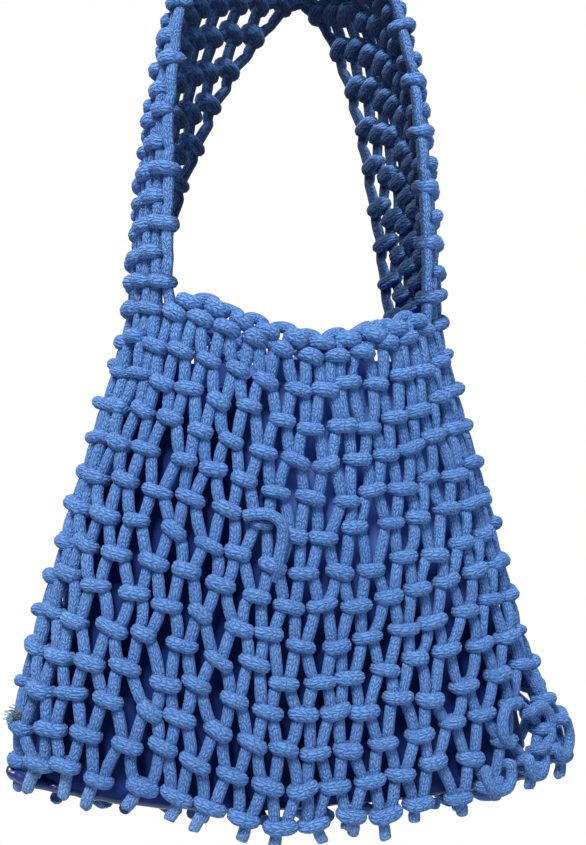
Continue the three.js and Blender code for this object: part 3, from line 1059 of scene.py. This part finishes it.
def hem_mesh():
    corners, faces = [], []
    for i in range(AROUND):
        share = i / AROUND
        top = liner_top(share)
        low, high = top - HEM_BAND, top + HEM_ABOVE
        for z, inset in ((low, HEM_OUTSIDE), (high, HEM_OUTSIDE), (high, HEM_INSIDE), (low, HEM_INSIDE)):
            level = (z - LINER_FLOOR) / (top - LINER_FLOOR)
            corners.append(body_point(share, z, -inset - CLOTH_EASE - fold(share, min(level, 1))))
    for i in range(AROUND):
        a, b = 4 * i, 4 * ((i + 1) % AROUND)
        for k in range(4):
            m = (k + 1) % 4
            faces.append((a + k, b + k, b + m, a + m))
    mesh = bpy.data.meshes.new("liner_hem")
    mesh.from_pydata([tuple(c * MM) for c in corners], [], faces)
    return mesh


hem = bpy.data.objects.new("liner_hem", hem_mesh())
hem.data.materials.append(LINER_CLOTH)
bpy.context.scene.collection.objects.link(hem)
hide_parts("liner_hem_front", "liner_hem_back")
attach(hem, "bag")
print("hem band:", len(hem.data.polygons), "faces")

# %% [markdown]
# The hem is held by one row of straight stitches. A stitch is a tiny capsule of thread,
# half sunk in the cloth. A tree walks the stitching line in even steps and sets one
# stitch at each, turned along the line, which is how a machine would sew it.

# %% Stitches along the hem
def stitch_tree():
    group, given, out = tree(
        "stitches along a line",
        [
            ("Step", "NodeSocketFloat", 0.0034),
            ("Stitch Length", "NodeSocketFloat", 0.0024),
            ("Thread Radius", "NodeSocketFloat", 0.00035),
            ("Material", "NodeSocketMaterial", None),
        ],
    )
    pacing = {"Curve": given.outputs["Geometry"], "Length": given.outputs["Step"]}
    steps = add(group, "GeometryNodeResampleCurve", pacing, mode="LENGTH")
    spots = add(group, "GeometryNodeCurveToPoints", {"Curve": steps.outputs[0]}, mode="EVALUATED")
    ball = add(group, "GeometryNodeMeshUVSphere", {"Segments": 6, "Rings": 4, "Radius": 1.0})
    halved = {0: given.outputs["Stitch Length"], 1: 0.5}
    half = add(group, "ShaderNodeMath", halved, operation="MULTIPLY")
    radius = given.outputs["Thread Radius"]
    size = add(group, "ShaderNodeCombineXYZ", {"X": radius, "Y": radius, "Z": half.outputs[0]})
    capsule = {"Geometry": ball.outputs["Mesh"], "Scale": size.outputs[0]}
    stitch = add(group, "GeometryNodeTransform", capsule)
    setting = {
        "Points": spots.outputs["Points"],
        "Instance": stitch.outputs[0],
        "Rotation": spots.outputs["Rotation"],
    }
    laid = add(group, "GeometryNodeInstanceOnPoints", setting)
    finish_tree(group, laid.outputs[0], given.outputs["Material"], out)
    return group


STITCH_TREE = stitch_tree()
STITCHED_BELOW, LINE_STEPS = 10.5, 240


def hem_line(inset):
    line = []
    for i in range(LINE_STEPS + 1):
        share = i / LINE_STEPS % 1.0
        z = liner_top(share) - STITCHED_BELOW
        line.append(body_point(share, z, -inset - CLOTH_EASE - fold(share, 1.0)))
    return line


def polyline(name, points):
    curve = bpy.data.curves.new(name, "CURVE")
    curve.dimensions = "3D"
    spline = curve.splines.new("POLY")
    spline.points.add(len(points) - 1)
    for point, p in zip(spline.points, points):
        point.co = (*(p * MM), 1)
    return bpy.data.objects.new(name, curve)


def thread_finish():
    material, nodes, skin = shader("navy thread")
    dyes = [(0.3, (0.02, 0.035, 0.16)), (0.7, (0.05, 0.08, 0.3))]
    nodes.links.new(ramp(nodes, noise(nodes, 900.0, 1.0), dyes), skin.inputs["Base Color"])
    skin.inputs["Roughness"].default_value = 0.5
    return material


THREAD = thread_finish()
for name, inset in (("hem_stitches_outside", 7.2), ("hem_stitches_inside", 11.7)):
    sewn = run_tree(polyline(name, hem_line(inset)), STITCH_TREE, {"Material": THREAD})
    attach(sewn, "bag")

# %% [markdown]
# A rolled edge is a cord wrapped in glossy cloth. It is swept with the same tree as the
# cotton cords, smoother and shinier, round the foot of the liner.

# %% Rolled edge
EDGE_STEPS = 90
edge_path = []
for i in range(EDGE_STEPS):
    x, y = UNIT[i * 360 // EDGE_STEPS] * (FOOT_WIDE, FOOT_DEEP)
    z = FOOT_Z + 0.5 * math.sin(9 * i) + foot_lift(x)
    edge_path.append((np.array([x, y, z]), 1.0))
edge_path.append(edge_path[0])
piping = cords("liner_piping", [edge_path], GLOSS, Radius=0.0028, Unevenness=0.0003)
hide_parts("liner_piping")
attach(piping, "bag")

# %% [markdown]
# A plain pale room: a soft lamp high on the left is the main light, a weaker one fills
# from the right, and two behind keep the back readable. The floor fades to the white of
# the room before its edge, so that the outline reads cleanly from every side.

# %% Floor, light and camera
bpy.ops.mesh.primitive_plane_add(size=8.0, location=(0, 0, -0.8))
floor = bpy.context.object
floor.name = "floor"
pale, pale_nodes, pale_skin = shader("pale floor")
pale_skin.inputs["Base Color"].default_value = (0.62, 0.62, 0.62, 1)
pale_skin.inputs["Roughness"].default_value = 0.8
glow = pale_nodes.nodes.new("ShaderNodeEmission")
sight = pale_nodes.nodes.new("ShaderNodeLightPath")
centre = pale_nodes.nodes.new("ShaderNodeTexCoord")
far = pale_nodes.nodes.new("ShaderNodeVectorMath")
far.operation = "LENGTH"
pale_nodes.links.new(centre.outputs["Object"], far.inputs[0])
beyond = math_node(pale_nodes, "SUBTRACT", far.outputs["Value"], 0.2)
fade = times(pale_nodes, beyond, 2.0, clamp=True)
white_out = times(pale_nodes, fade, sight.outputs["Is Camera Ray"])
blend = pale_nodes.nodes.new("ShaderNodeMixShader")
pale_nodes.links.new(white_out, blend.inputs[0])
pale_nodes.links.new(pale_skin.outputs[0], blend.inputs[1])
pale_nodes.links.new(glow.outputs[0], blend.inputs[2])
pale_nodes.links.new(blend.outputs[0], pale_nodes.nodes["Material Output"].inputs["Surface"])
floor.data.materials.append(pale)

world = bpy.data.worlds.new("room")
bpy.context.scene.world = world
world.use_nodes = True
room = world.node_tree
back = room.nodes["Background"]
back.inputs["Color"].default_value = (0.42, 0.64, 1.0, 1)
back.inputs["Strength"].default_value = 0.13
white = room.nodes.new("ShaderNodeBackground")
white.inputs["Color"].default_value = (1, 1, 1, 1)
white.inputs["Strength"].default_value = 1.0
seen = room.nodes.new("ShaderNodeLightPath")
choose = room.nodes.new("ShaderNodeMixShader")
room.links.new(seen.outputs["Is Camera Ray"], choose.inputs[0])
room.links.new(back.outputs[0], choose.inputs[1])
room.links.new(white.outputs[0], choose.inputs[2])
room.links.new(choose.outputs[0], room.nodes["World Output"].inputs["Surface"])


def lamp(name, where, aim, power, size, colour):
    data = bpy.data.lights.new(name, "AREA")
    data.energy = power
    data.size = size
    data.color = colour
    obj = bpy.data.objects.new(name, data)
    obj.location = where
    obj.rotation_euler = (Vector(aim) - Vector(where)).to_track_quat("-Z", "Y").to_euler()
    bpy.context.scene.collection.objects.link(obj)
    return obj


lamp("key", (-0.55, -1.0, 1.0), (0, 0, -0.3), 40, 0.5, (1.0, 0.98, 0.95))
lamp("fill", (0.9, -1.2, 0.1), (0, 0, -0.3), 4, 0.7, (0.75, 0.87, 1.0))
lamp("behind left", (-0.8, 1.1, 0.5), (0, 0, -0.25), 15, 0.7, (1.0, 0.98, 0.96))
lamp("behind right", (1.2, 0.6, 0.4), (0, 0, -0.25), 11, 0.7, (0.95, 0.98, 1.0))

AZIMUTH, DISTANCE = math.radians(-16), 0.70
EYE_HEIGHT, EYE_ASIDE = -0.256, 0.0036
right = Vector((math.cos(AZIMUTH), math.sin(AZIMUTH), 0))
towards = Vector((math.sin(AZIMUTH), -math.cos(AZIMUTH), 0))
camera = bpy.data.objects.new("camera", bpy.data.cameras.new("camera"))
camera.data.sensor_fit = "VERTICAL"
camera.data.sensor_height = 24.0
camera.data.lens = 35.446
camera.location = towards * DISTANCE + right * EYE_ASIDE + Vector((0, 0, EYE_HEIGHT))
camera.rotation_euler = (math.pi / 2, 0, AZIMUTH)
bpy.context.scene.collection.objects.link(camera)
bpy.context.scene.camera = camera
bpy.context.scene.view_settings.view_transform = "Standard"
